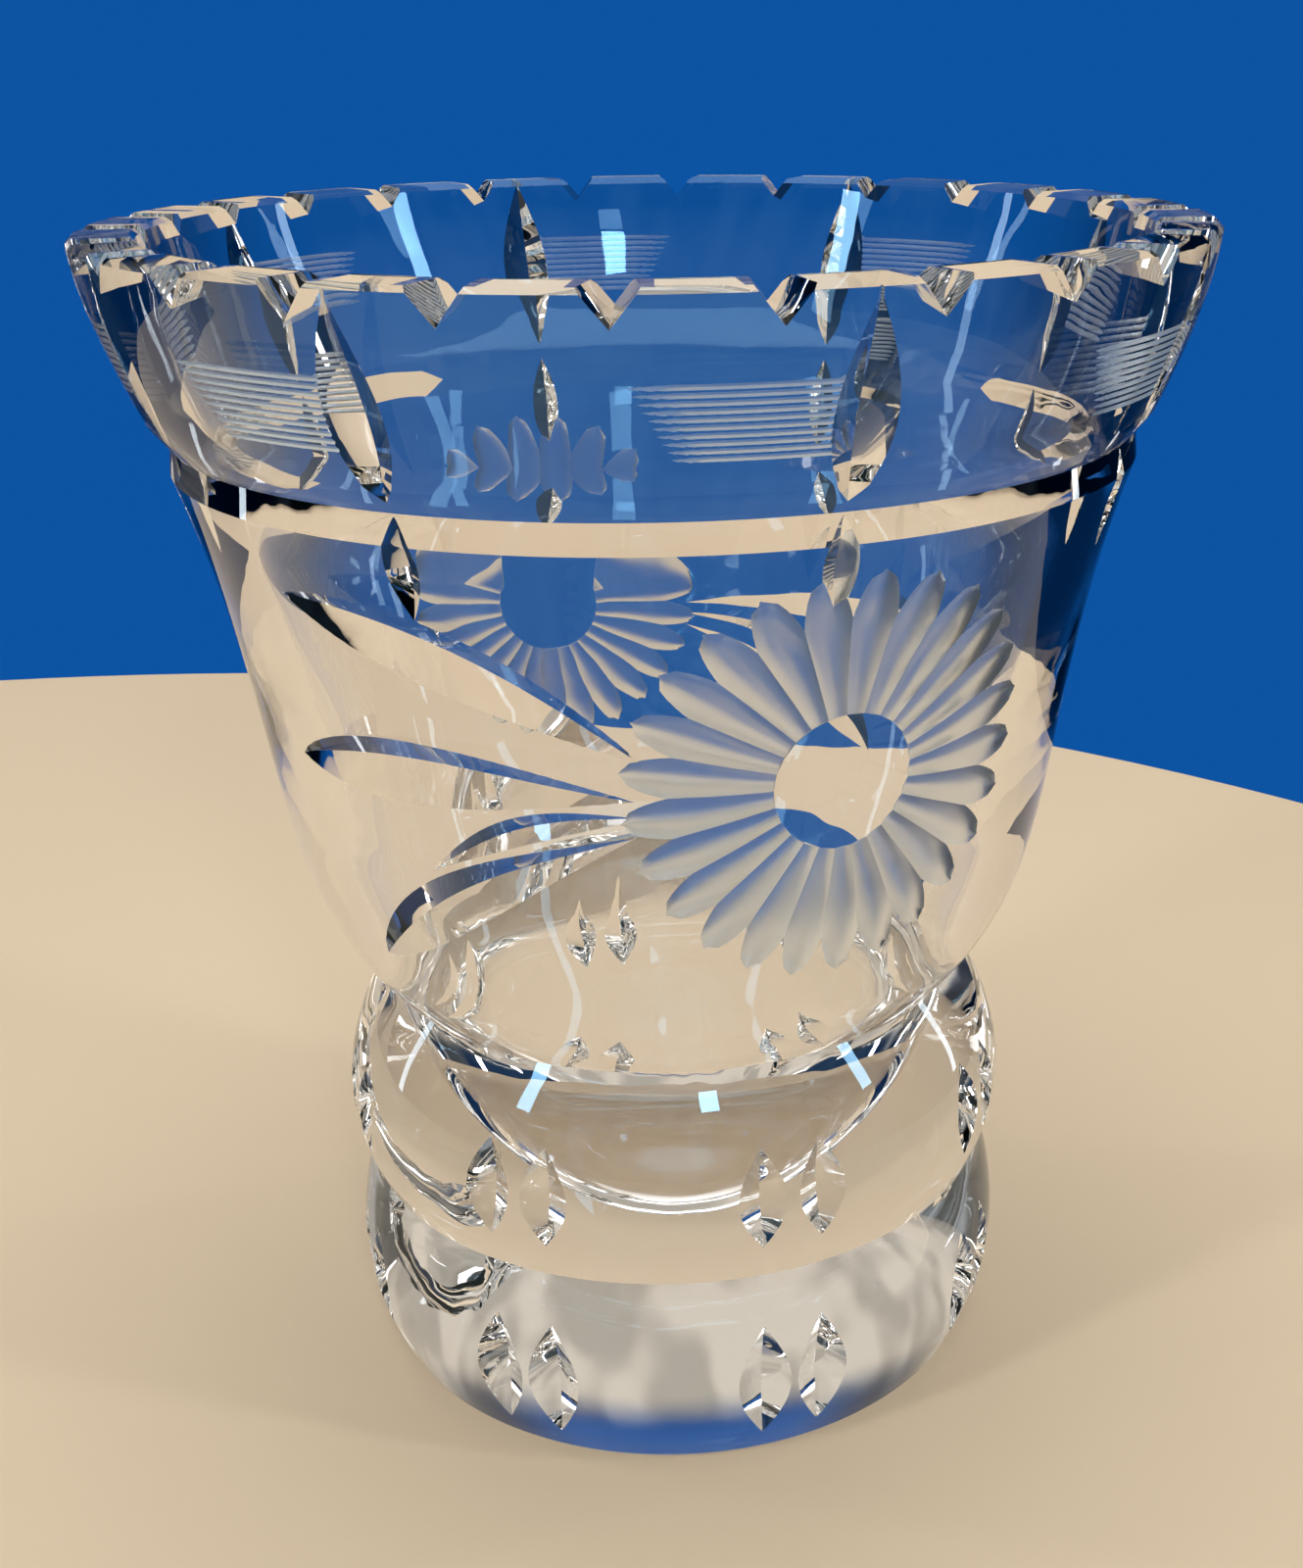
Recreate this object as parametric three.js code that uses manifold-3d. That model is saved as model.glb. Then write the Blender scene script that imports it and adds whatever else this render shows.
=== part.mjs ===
// Cut crystal vase: one solid piece of clear lead crystal.
//
// A flared bowl with a notched rim stands on two round rings that are part of the same glass.
// The wheel cuts are a groove under the collar, upright spears, two daisies with their leaves,
// and short spears in pairs on the rings.
//
// Millimetres, Z up, origin at the centre of the base. An azimuth of 0 faces -Y, the front,
// and azimuths grow towards +X.

import * as THREE from "three";
import { mergeVertices } from "three/addons/utils/BufferGeometryUtils.js";
import Module from "manifold-3d";

// Overall size
const HEIGHT = 200;
const RIM_RADIUS = 90;
const RIM_WALL = 10;
const RIM_CHAMFER = 0.8;

// Outer profile, as radius and height of each place where its direction breaks
const COLLAR_FOOT = [81.7, 172.8];
const GROOVE_FLOOR = [78.3, 168.6];
const RIDGE = [78.7, 164.1];
const NECK = [51, 72.6];
const RING_GROOVE = [56.3, 36.5];
const RING_BULGE = [64.6, 54];
const FOOT_BULGE = [63, 16.5];
const FOOT_RADIUS = 54.6;
const FOOT_CHAMFER = 1.2;

// Cavity
const RIDGE_WALL = 10.5;
const CAVITY_NECK = [41, 62];
const CAVITY_WAIST = [56.5, 108];
const FLOOR_HEIGHT = 31;

// Facets of the outer and inner round walls
const OUTER_FACETS = 52;
const INNER_FACETS = 52;
const CURVE_STEPS = 4;

// Rim notches
const NOTCH_COUNT = 26;
const NOTCH_PHASE = -31.3;
const NOTCH_DEPTH = 5;
const NOTCH_RISE = 2;
const NOTCH_FLANK = 0.8;

// Upright spears: eight across the collar, each with a short one below the ridge
const SPEAR_COUNT = 8;
const SPEAR_PHASE = -27;
const COLLAR_SPEAR = { low: 171, high: 199, width: 8, depth: 2.8 };
const LOWER_SPEAR = { low: 154.5, high: 165.5, width: 4.6, depth: 2.0 };

// Pairs of short spears on the two rings, one pair under each upright spear
const PAIR_SPREAD = 10;
const RING_SPEARS = [
  { low: 43, high: 61.5, width: 8, depth: 2.8 },
  { low: 7, high: 27, width: 8, depth: 2.8 },
];

// The daisy and its leaves, on two opposite sides
const DAISY_COUNT = 2;
const DAISY = { azimuth: 21.5, height: 127 };
const PETAL_COUNT = 25;
const PETAL = { inner: 11.3, outer: 34.5, width: 5.2, depth: 1.1 };
// Each leaf runs from its tip to the daisy; azimuths are taken from the daisy's centre
const LEAVES = [
  { tip: [-68.5, 153.5], root: [-23, 131], bow: 3.2, width: 10, depth: 2.4, ridge: 0.35 },
  { tip: [-75.5, 125], root: [-24, 126], bow: 1.6, width: 10.5, depth: 2.4, ridge: 0.4 },
  { tip: [-54, 111], root: [-24, 123.5], bow: 3.4, width: 4.6, depth: 1.4, ridge: 0 },
  { tip: [-68, 91.5], root: [-24, 121], bow: 2.4, width: 9.5, depth: 2.3, ridge: 0.35 },
];

// How far each cutter stands out of the glass, and the height of its blunt rim
const CUTTER_CLEAR = 1.4;
const CUTTER_RIM = 0.3;
// Edges shorter than this are closed up after the cuts
const SHORT_EDGE = 0.04;

const CRYSTAL = new THREE.MeshStandardMaterial({
  color: 0xe8eef2,
  roughness: 0.03,
  metalness: 0,
  transparent: true,
  opacity: 0.35,
});

const wasm = await Module();
wasm.setup();

// ---- Helpers -------------------------------------------------------------------------------

function toManifold(geometry) {
  geometry.deleteAttribute("normal");
  geometry.deleteAttribute("uv");
  const merged = mergeVertices(geometry, 1e-4);
  const mesh = new wasm.Mesh({
    numProp: 3,
    vertProperties: new Float32Array(merged.attributes.position.array),
    triVerts: new Uint32Array(merged.index.array),
  });
  return new wasm.Manifold(mesh);
}

function toGeometry(solid) {
  const mesh = solid.getMesh();
  const geometry = new THREE.BufferGeometry();
  geometry.setAttribute("position", new THREE.BufferAttribute(mesh.vertProperties, 3));
  geometry.setIndex(withoutShortEdges(mesh));
  geometry.computeVertexNormals();
  return geometry;
}

// Index of a mesh in which both ends of every short edge have become one corner
function withoutShortEdges(mesh) {
  const corners = mesh.triVerts;
  const points = mesh.vertProperties;
  const joined = Array.from({ length: points.length / 3 }, (_, i) => i);
  const find = (i) => (joined[i] === i ? i : find(joined[i]));
  const distance = (a, b) =>
    Math.hypot(...[0, 1, 2].map((axis) => points[3 * a + axis] - points[3 * b + axis]));
  for (let i = 0; i < corners.length; i += 1) {
    const next = i % 3 === 2 ? i - 2 : i + 1;
    if (distance(corners[i], corners[next]) < SHORT_EDGE) {
      joined[find(corners[i])] = find(corners[next]);
    }
  }
  const kept = [];
  for (let i = 0; i < corners.length; i += 3) {
    const triangle = [find(corners[i]), find(corners[i + 1]), find(corners[i + 2])];
    if (new Set(triangle).size === 3) kept.push(...triangle);
  }
  return kept;
}

// Turns a profile of radius and height about Z
function turned(points, facets) {
  const geometry = new THREE.LatheGeometry(points, facets);
  geometry.rotateX(Math.PI / 2);
  return toManifold(geometry);
}

// ---- Profiles ------------------------------------------------------------------------------

function outerProfile() {
  const path = new THREE.Path();
  path.moveTo(0, 0);
  path.lineTo(FOOT_RADIUS - FOOT_CHAMFER, 0);
  path.lineTo(FOOT_RADIUS, FOOT_CHAMFER);
  path.quadraticCurveTo(...FOOT_BULGE, ...RING_GROOVE);
  path.quadraticCurveTo(...RING_BULGE, ...NECK);
  path.bezierCurveTo(71.2, 94.2, 63.3, 118.5, ...RIDGE);
  path.lineTo(...GROOVE_FLOOR);
  path.lineTo(...COLLAR_FOOT);
  path.quadraticCurveTo(RIM_RADIUS - 1.1, HEIGHT - 11.3, RIM_RADIUS, HEIGHT - RIM_CHAMFER);
  path.lineTo(RIM_RADIUS - RIM_CHAMFER, HEIGHT);
  path.lineTo(0, HEIGHT);
  return path.getPoints(CURVE_STEPS);
}

// The cavity runs up past the rim, so that it cuts the mouth open
function cavityProfile() {
  const mouth = RIM_RADIUS - RIM_WALL;
  const path = new THREE.Path();
  path.moveTo(0, FLOOR_HEIGHT);
  path.bezierCurveTo(20, FLOOR_HEIGHT, 33, 44, ...CAVITY_NECK);
  path.bezierCurveTo(49, 80, 54.5, 90, ...CAVITY_WAIST);
  path.quadraticCurveTo(60, 128, RIDGE[0] - RIDGE_WALL, RIDGE[1]);
  path.quadraticCurveTo(mouth - 2, HEIGHT - 16, mouth, HEIGHT - RIM_CHAMFER);
  path.lineTo(mouth + 2 * RIM_CHAMFER, HEIGHT + RIM_CHAMFER);
  path.lineTo(0, HEIGHT + RIM_CHAMFER);
  return path.getPoints(CURVE_STEPS);
}

const PROFILE = outerProfile();

// Outer radius of the uncut wall at a height
function wallRadius(height) {
  for (let i = 2; i < PROFILE.length - 2; i += 1) {
    const low = PROFILE[i];
    const high = PROFILE[i + 1];
    if (height >= low.y && height <= high.y) {
      return THREE.MathUtils.mapLinear(height, low.y, high.y, low.x, high.x);
    }
  }
  return height < HEIGHT / 2 ? FOOT_RADIUS : RIM_RADIUS;
}

// ---- Cuts ----------------------------------------------------------------------------------

// Places a point that is u mm around and v mm up from a centre, and lifted off the wall
function wallPlace(centre) {
  const millimetresPerRadian = wallRadius(centre.height);
  return (u, v, lift) => {
    const angle = THREE.MathUtils.degToRad(centre.azimuth) + u / millimetresPerRadian;
    const height = centre.height + v;
    const radius = wallRadius(height) + lift;
    return new THREE.Vector3(radius * Math.sin(angle), -radius * Math.cos(angle), height);
  };
}

const POINTED = (s) => Math.sin(Math.PI * s);
const PETAL_SHAPE = (s) => (0.45 + 0.62 * s) * (1 - s ** 8);

// A wheel cut: a box bent along a line and pinched into a V valley that is deepest in the middle
function wheelCut(start, end, cut, place) {
  const { width, depth, bow = 0, ridge = 0, shape = POINTED, steps = 4 } = cut;
  const dx = end[0] - start[0];
  const dy = end[1] - start[1];
  const length = Math.hypot(dx, dy);
  const geometry = new THREE.BoxGeometry(1, 1, 1, steps, 2, 1);
  const position = geometry.attributes.position;
  const flank = width / 2 / depth;
  for (let i = 0; i < position.count; i += 1) {
    const s = position.getX(i) + 0.5;
    const t = 2 * position.getY(i);
    const under = position.getZ(i) < 0;
    const reach = depth * (1.08 * shape(s) - 0.08);
    const top = under ? CUTTER_CLEAR - CUTTER_RIM : CUTTER_CLEAR;
    const lift = under ? (reach + top) * Math.abs(t) - reach : top;
    const side = flank * (t * (reach + top) + ridge * (1 - Math.abs(t)) * reach);
    const drift = bow * Math.sin(Math.PI * s) + side;
    const u = start[0] + s * dx - (drift * dy) / length;
    const v = start[1] + s * dy + (drift * dx) / length;
    const point = place(u, v, lift);
    position.setXYZ(i, point.x, point.y, point.z);
  }
  return toManifold(geometry);
}

function uprightCut(azimuth, spear) {
  const half = (spear.high - spear.low) / 2;
  const centre = { azimuth, height: spear.low + half };
  return wheelCut([0, -half], [0, half], spear, wallPlace(centre));
}

function rimNotches() {
  const slope = Math.atan(NOTCH_RISE / RIM_WALL);
  const reach = 12;
  const cutters = [];
  for (let i = 0; i < NOTCH_COUNT; i += 1) {
    const prism = new THREE.CylinderGeometry(reach, reach, 3 * RIM_WALL, 4);
    prism.scale(NOTCH_FLANK, 1, 1);
    prism.rotateX(slope);
    prism.translate(0, -RIM_RADIUS + RIM_WALL / 2, HEIGHT - NOTCH_DEPTH + NOTCH_RISE / 2 + reach);
    prism.rotateZ(THREE.MathUtils.degToRad(NOTCH_PHASE + (360 / NOTCH_COUNT) * i));
    cutters.push(toManifold(prism));
  }
  return cutters;
}

function spears() {
  const cutters = [];
  for (let i = 0; i < SPEAR_COUNT; i += 1) {
    const azimuth = SPEAR_PHASE + (360 / SPEAR_COUNT) * i;
    cutters.push(uprightCut(azimuth, COLLAR_SPEAR));
    cutters.push(uprightCut(azimuth, LOWER_SPEAR));
    for (const spear of RING_SPEARS) {
      cutters.push(uprightCut(azimuth - PAIR_SPREAD / 2, spear));
      cutters.push(uprightCut(azimuth + PAIR_SPREAD / 2, spear));
    }
  }
  return cutters;
}

function petals(place) {
  const petal = { ...PETAL, shape: PETAL_SHAPE, steps: 3 };
  const cutters = [];
  for (let i = 0; i < PETAL_COUNT; i += 1) {
    const turn = (2 * Math.PI * i) / PETAL_COUNT;
    const start = [PETAL.inner * Math.cos(turn), PETAL.inner * Math.sin(turn)];
    const end = [PETAL.outer * Math.cos(turn), PETAL.outer * Math.sin(turn)];
    cutters.push(wheelCut(start, end, petal, place));
  }
  return cutters;
}

function leaves(place) {
  const around = THREE.MathUtils.degToRad(wallRadius(DAISY.height));
  return LEAVES.map((leaf) => {
    const start = [leaf.tip[0] * around, leaf.tip[1] - DAISY.height];
    const end = [leaf.root[0] * around, leaf.root[1] - DAISY.height];
    return wheelCut(start, end, { ...leaf, steps: 8 }, place);
  });
}

function daisies() {
  const cutters = [];
  for (let i = 0; i < DAISY_COUNT; i += 1) {
    const place = wallPlace({ azimuth: DAISY.azimuth + (360 / DAISY_COUNT) * i, height: DAISY.height });
    cutters.push(...petals(place), ...leaves(place));
  }
  return cutters;
}

// ---- The vase ------------------------------------------------------------------------------

function crystalVase() {
  let glass = turned(PROFILE, OUTER_FACETS).subtract(turned(cavityProfile(), INNER_FACETS));
  for (const cutter of [...rimNotches(), ...spears(), ...daisies()]) {
    glass = glass.subtract(cutter);
  }
  const mesh = new THREE.Mesh(toGeometry(glass), CRYSTAL);
  mesh.name = "crystal_vase";
  return mesh;
}

const vase = new THREE.Group();
vase.add(crystalVase());

export default vase;
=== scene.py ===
"""Cut crystal vase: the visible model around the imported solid, with its cuts, finishes and stage.

The body is turned from one profile, and every wheel cut is then taken out of it, each with its own
finish. Metres, Z up. An azimuth of 0 faces -Y, the front, and azimuths grow towards +X.
"""
import math
from functools import partial

import bmesh
import bpy
import numpy as np
from bpy.props import (
    FloatProperty,
    FloatVectorProperty,
    IntProperty,
    PointerProperty,
)
from mathutils import Matrix, Vector
from mathutils.geometry import interpolate_bezier


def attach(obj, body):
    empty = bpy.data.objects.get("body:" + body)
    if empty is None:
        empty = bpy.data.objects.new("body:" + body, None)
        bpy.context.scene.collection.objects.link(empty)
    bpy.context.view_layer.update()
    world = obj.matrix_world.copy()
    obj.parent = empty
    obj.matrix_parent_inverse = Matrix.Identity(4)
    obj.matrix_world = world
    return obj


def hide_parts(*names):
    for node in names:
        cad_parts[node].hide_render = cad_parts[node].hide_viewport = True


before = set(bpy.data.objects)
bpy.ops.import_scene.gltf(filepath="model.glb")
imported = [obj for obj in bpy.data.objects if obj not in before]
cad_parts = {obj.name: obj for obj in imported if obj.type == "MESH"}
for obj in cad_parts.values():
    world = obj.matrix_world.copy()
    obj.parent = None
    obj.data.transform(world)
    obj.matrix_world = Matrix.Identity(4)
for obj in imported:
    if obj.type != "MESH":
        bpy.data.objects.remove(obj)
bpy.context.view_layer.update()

bl_info = {
    "name": "Cut Crystal Vase",
    "version": (1, 0, 0),
    "blender": (4, 5, 0),
    "location": "View3D > Sidebar > Vase",
    "description": "Turns a crystal vase and cuts its rim, spears, combs and daisies",
    "category": "Add Mesh",
}

NODE = "crystal_vase"
VASE_NAME = "crystal_vase_glass"
MM = 0.001

# Outer profile, as radius and height of each place where its direction breaks, in mm
COLLAR_FOOT = (81.7, 172.8)
COLLAR_BULGE = (88.9, 188.7)
GROOVE_FLOOR = (78.3, 168.6)
RIDGE = (78.7, 164.1)
BOWL_UPPER = (63.3, 118.5)
BOWL_LOWER = (71.2, 94.2)
NECK = (51.0, 72.6)
RING_BULGE = (64.6, 54.0)
RING_GROOVE = (56.3, 36.5)
FOOT_BULGE = (63.0, 16.5)
FOOT_RADIUS = 54.6
FOOT_CHAMFER = 1.2

# Cavity, in mm
RIDGE_WALL = 10.5
CAVITY_NECK = (41.0, 62.0)
CAVITY_WAIST = (56.5, 108.0)
# What its curves are pulled towards: the floor, below and above the neck, the waist, the bowl
FLOOR_REACH = 20.0
FLOOR_PULL = (33.0, 44.0)
NECK_PULL = (49.0, 80.0)
WAIST_PULL = (54.5, 90.0)
CAVITY_BULGE = (60.0, 128.0)
MOUTH_FLARE = (2.0, 16.0)

# Straight steps that stand for each curve
RING_STEPS = 16
BOWL_STEPS = 28
COLLAR_STEPS = 8
CAVITY_FLOOR_STEPS = 20
CAVITY_NECK_STEPS = 18
CAVITY_BOWL_STEPS = 14

# Short spears on the two rings: lowest and highest point, width and depth, in mm
RING_SPEARS = (
    {"low": 43.0, "high": 61.5, "width": 8.0, "depth": 2.8},
    {"low": 5.0, "high": 28.6, "width": 8.8, "depth": 3.0},
)
COLLAR_SPEAR = {"low": 170.0, "high": 199.6, "width": 9.0, "depth": 3.0, "skew": 0.74}
LOWER_SPEAR = {"low": 152.5, "high": 168.8, "width": 5.2, "depth": 2.2}

# Leaves: azimuth from the daisy's centre in degrees and height in mm of the tip and the root
LEAVES = (
    {"tip": (-68.5, 153.5), "root": (-23.0, 131.0), "bow": 3.2, "width": 10.0, "depth": 2.4,
     "ridge": 0.35, "skew": 0.8},
    {"tip": (-75.5, 125.0), "root": (-24.0, 126.0), "bow": 1.6, "width": 10.5, "depth": 2.4,
     "ridge": 0.4, "skew": 0.75},
    {"tip": (-54.0, 111.0), "root": (-24.0, 123.5), "bow": 3.4, "width": 4.6, "depth": 1.4,
     "ridge": 0.0, "skew": 1.0},
    {"tip": (-68.0, 91.5), "root": (-24.0, 121.0), "bow": 2.4, "width": 9.5, "depth": 2.3,
     "ridge": 0.35, "skew": 0.7},
)

# Petals: share of the full width and depth at the disc, and how fast both grow towards the tip
PETAL_ROOT = 0.42
PETAL_WIDENING = 0.95
PETAL_DEEPENING = 0.62
PETAL_TIP_POWER = 10
# Combs: how abruptly a line starts and stops, and its width over the pitch
COMB_START = 5.0
COMB_STOP = 14.0
COMB_STOP_DEPTH = 0.2
COMB_OVERLAP = 1.04

# How far each cutter stands out of the glass, and the height of its blunt rim, in mm
CUTTER_CLEAR = 1.4
CUTTER_RIM = 0.3
# How far a cut's ends rise out of the glass, and its least hollow, as shares of its depth
TIP_LIFT = 0.08
LEAST_HOLLOW = 0.15
# The bar that cuts a notch: half its diagonal in mm, and its length over the wall's thickness
NOTCH_BAR_REACH = 12.0
NOTCH_BAR_LENGTH = 3.0

# Two faces that meet more steeply than this keep a crisp edge
CRISP_ANGLE = math.radians(24)
# Profile segments that meet less steeply than this are one rounded wall
ROUND_ANGLE = math.radians(16)
# Corners closer together than this are one corner, and edges shorter than this go, in metres
WELD = 0.000001
SLIVER = 0.00001
# A corner nearer the axis than this has no side of its own, in mm
ON_AXIS = 1e-6


# ---- Sizes and colours -----------------------------------------------------------------------


def length_property(name, description, default):
    """A length in metres that is given here in millimetres."""
    return FloatProperty(name=name, description=description, default=default * MM,
                         min=0.0, subtype="DISTANCE", unit="LENGTH", precision=4)


def colour_property(name, description, default):
    """A colour with its alpha."""
    return FloatVectorProperty(name=name, description=description, default=default,
                               size=4, min=0.0, max=1.0, subtype="COLOR")


class BodySizes(bpy.types.PropertyGroup):
    height: length_property("Height", "Height of the vase", 200.0)
    rim_radius: length_property("Rim radius", "Outer radius at the rim", 90.0)
    rim_wall: length_property("Rim wall", "Thickness of the wall at the rim", 10.0)
    rim_chamfer: length_property("Rim chamfer", "Polished chamfer on both edges of the rim", 0.8)
    floor_height: length_property("Floor height", "Thickness of the solid glass foot", 31.0)
    segments: IntProperty(name="Segments", description="Facets of the turned wall",
                          default=256, min=32, max=512)


class RimSizes(bpy.types.PropertyGroup):
    count: IntProperty(name="Notches", description="Number of notches", default=26, min=3)
    phase: FloatProperty(name="First notch", description="Azimuth of the first notch",
                         default=math.radians(-31.3), subtype="ANGLE", unit="ROTATION")
    depth: length_property("Notch depth", "Depth of a notch at the outer edge", 5.0)
    rise: length_property("Notch rise", "How much shallower a notch is at the inner edge", 2.0)
    flank: FloatProperty(name="Notch flank", description="Half width of a notch over its depth",
                         default=0.8, min=0.1, max=3.0)


class SpearSizes(bpy.types.PropertyGroup):
    count: IntProperty(name="Spears", description="Number of upright spears", default=8, min=1)
    phase: FloatProperty(name="First spear", description="Azimuth of the first spear",
                         default=math.radians(-27.0), subtype="ANGLE", unit="ROTATION")
    pair_spread: FloatProperty(name="Pair spread", description="Angle between two ring spears",
                               default=math.radians(10.0), subtype="ANGLE", unit="ROTATION")


class CombSizes(bpy.types.PropertyGroup):
    lines: IntProperty(name="Lines", description="Fine lines in each comb", default=10, min=1)
    bottom: length_property("Lowest line", "Height of the lowest line", 177.9)
    pitch: length_property("Pitch", "Distance between two lines", 1.08)
    depth: length_property("Depth", "Depth of a line", 0.14)
    start: FloatProperty(name="Start", description="Left end of a comb, from its spear",
                         default=math.radians(-19.0), subtype="ANGLE", unit="ROTATION")
    end: FloatProperty(name="End", description="Right end of a comb, from its spear",
                       default=math.radians(-1.6), subtype="ANGLE", unit="ROTATION")
    slant: FloatProperty(name="Slant", description="How much further left the top line starts",
                         default=math.radians(3.6), subtype="ANGLE", unit="ROTATION")


class DaisySizes(bpy.types.PropertyGroup):
    count: IntProperty(name="Daisies", description="Number of daisies", default=2, min=1)
    azimuth: FloatProperty(name="Azimuth", description="Azimuth of the first daisy",
                           default=math.radians(21.5), subtype="ANGLE", unit="ROTATION")
    height: length_property("Height", "Height of a daisy's centre", 126.6)
    petals: IntProperty(name="Petals", description="Petals of a daisy", default=25, min=3)
    inner: length_property("Disc radius", "Radius of the uncut disc", 10.9)
    outer: length_property("Petal reach", "Radius of the petals' tips", 33.6)
    petal_width: length_property("Petal width", "Widest part of a petal", 7.2)
    petal_depth: length_property("Petal depth", "Deepest part of a petal", 1.15)


class GlassLook(bpy.types.PropertyGroup):
    crystal: colour_property("Crystal", "Tint of the polished crystal", (0.985, 0.992, 1.0, 1.0))
    satin: colour_property("Satin", "Colour of the satin petals", (0.73, 0.86, 0.97, 1.0))
    gloss: colour_property("Gloss", "Colour of the faint reflections", (0.24, 0.50, 0.74, 1.0))
    comb: colour_property("Comb", "Colour of the fine comb lines", (0.44, 0.66, 0.92, 1.0))
    refraction: FloatProperty(name="Refractive index", description="How strongly it bends light",
                              default=1.545, min=1.0, max=2.5)


class StageLook(bpy.types.PropertyGroup):
    floor: colour_property("Floor", "Colour of the floor", (0.68, 0.545, 0.385, 1.0))
    backdrop: colour_property("Backdrop", "Colour behind the vase", (0.004, 0.088, 0.36, 1.0))
    room: colour_property("Room", "Colour of the room in front", (0.80, 0.87, 0.95, 1.0))
    ceiling: colour_property("Ceiling", "Colour overhead", (0.50, 0.45, 0.38, 1.0))
    fill: colour_property("Fill", "Colour of the soft light", (0.90, 0.88, 0.84, 1.0))
    room_strength: FloatProperty(name="Room strength", description="How bright the room looks",
                                 default=0.16, min=0.0)
    fill_strength: FloatProperty(name="Fill strength", description="Strength of the soft light",
                                 default=0.42, min=0.0)
    lamp_strength: FloatProperty(name="Lamp strength", description="Power of all the lamps",
                                 default=0.82, min=0.0)


class VaseSettings(bpy.types.PropertyGroup):
    body: PointerProperty(type=BodySizes)
    rim: PointerProperty(type=RimSizes)
    spears: PointerProperty(type=SpearSizes)
    combs: PointerProperty(type=CombSizes)
    daisies: PointerProperty(type=DaisySizes)
    glass: PointerProperty(type=GlassLook)
    stage: PointerProperty(type=StageLook)


# ---- Profiles --------------------------------------------------------------------------------


def curve_to(path, knot, handle_out, handle_in, steps):
    """Adds a cubic curve from the last point of a path, in mm."""
    points = interpolate_bezier(path[-1], Vector(handle_out), Vector(handle_in), Vector(knot),
                                steps + 1)
    path.extend(points[1:])


def bulge_to(path, knot, control, steps):
    """Adds a curve with one control point from the last point of a path, in mm."""
    first = path[-1]
    last = Vector(knot)
    pull = Vector(control)
    curve_to(path, knot, first.lerp(pull, 2 / 3), last.lerp(pull, 2 / 3), steps)


def outer_profile(body):
    """Radius and height of the outer wall from the axis under the foot to the rim, in mm."""
    rim = body.rim_radius / MM
    top = body.height / MM
    chamfer = body.rim_chamfer / MM
    path = [Vector((0.0, 0.0))]
    path.append(Vector((FOOT_RADIUS - FOOT_CHAMFER, 0.0)))
    path.append(Vector((FOOT_RADIUS, FOOT_CHAMFER)))
    bulge_to(path, RING_GROOVE, FOOT_BULGE, RING_STEPS)
    bulge_to(path, NECK, RING_BULGE, RING_STEPS)
    curve_to(path, RIDGE, BOWL_LOWER, BOWL_UPPER, BOWL_STEPS)
    path.append(Vector(GROOVE_FLOOR))
    path.append(Vector(COLLAR_FOOT))
    bulge_to(path, (rim, top - chamfer), COLLAR_BULGE, COLLAR_STEPS)
    path.append(Vector((rim - chamfer, top)))
    return path


def inner_profile(body):
    """Radius and height of the cavity from its floor to the rim, in mm."""
    mouth = (body.rim_radius - body.rim_wall) / MM
    top = body.height / MM
    floor = body.floor_height / MM
    chamfer = body.rim_chamfer / MM
    path = [Vector((0.0, floor))]
    flare = (mouth - MOUTH_FLARE[0], top - MOUTH_FLARE[1])
    curve_to(path, CAVITY_NECK, (FLOOR_REACH, floor), FLOOR_PULL, CAVITY_FLOOR_STEPS)
    curve_to(path, CAVITY_WAIST, NECK_PULL, WAIST_PULL, CAVITY_NECK_STEPS)
    bulge_to(path, (RIDGE[0] - RIDGE_WALL, RIDGE[1]), CAVITY_BULGE, CAVITY_BOWL_STEPS)
    bulge_to(path, (mouth, top - chamfer), flare, COLLAR_STEPS)
    path.append(Vector((mouth + chamfer, top)))
    return path


def wall_radius(outer, height):
    """Radius of the uncut outer wall at a height, in mm."""
    wall = outer[2:]
    return float(np.interp(height, [p.y for p in wall], [p.x for p in wall]))


# ---- Cutters ---------------------------------------------------------------------------------


def wall_place(outer, azimuth, height):
    """Places a point that is u around and v up from a centre, lifted off the wall, all in mm."""
    around = wall_radius(outer, height)

    def place(u, v, lift):
        angle = azimuth + u / around
        radius = wall_radius(outer, height + v) + lift
        return Vector((radius * math.sin(angle), -radius * math.cos(angle), height + v)) * MM

    return place


def skewed(skew):
    """A pointed outline whose widest place is nearer its start when skew is below 1."""
    return lambda s: math.sin(math.pi * s ** skew)


def petal_depth_shape(s):
    """Deepens from the disc, and ends steeply at the round tip."""
    return (PETAL_ROOT + PETAL_DEEPENING * s) * (1.0 - s ** PETAL_TIP_POWER)


def petal_width_shape(s):
    """Widens from the disc to the middle, then closes in a half ellipse."""
    spread = min(PETAL_ROOT + PETAL_WIDENING * s, 1.0)
    return spread * math.sqrt(max(1.0 - (max(s - 0.5, 0.0) / 0.5) ** 2, 0.0))


def comb_shape(s):
    """An even line that fades in at its left end and stops short at its right."""
    return min(1.0, COMB_STOP * (1.0 - s) + COMB_STOP_DEPTH) * min(1.0, COMB_START * s)


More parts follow.
